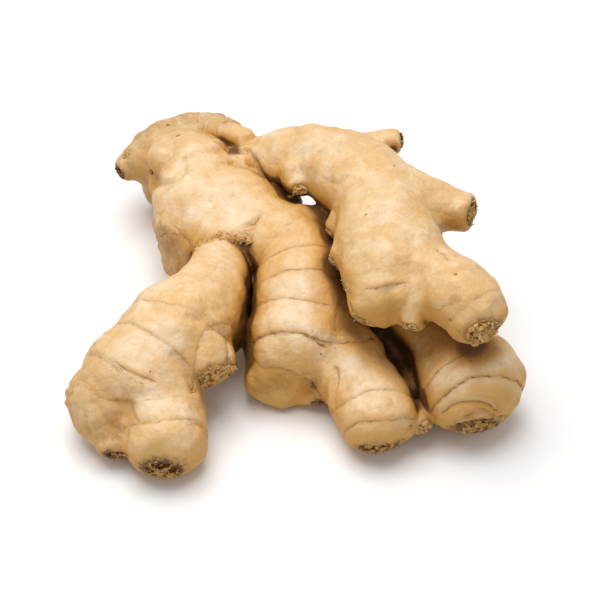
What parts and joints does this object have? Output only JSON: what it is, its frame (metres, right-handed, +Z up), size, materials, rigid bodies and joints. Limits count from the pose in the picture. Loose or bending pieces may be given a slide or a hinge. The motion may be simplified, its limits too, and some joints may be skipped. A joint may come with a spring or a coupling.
{
  "type": "ginger root",
  "caption": "Fresh ginger rhizome lying flat: a knobbly crown that branches into blunt fingers, with one arm arching over the others.",
  "frame": {"origin": "on the table, under the middle of the rhizome's box", "axes": "+Z up from the table, -Y towards the fingertips, +X towards the finger that lies under the arm"},
  "size_m": [0.1533, 0.1557, 0.0629],
  "materials": {
    "skin": "thin papery tan skin with fine brown growth rings, softly shiny"
  },
  "bodies": {
    "root": {"ginger_root": "skin"}
  },
  "joints": []
}
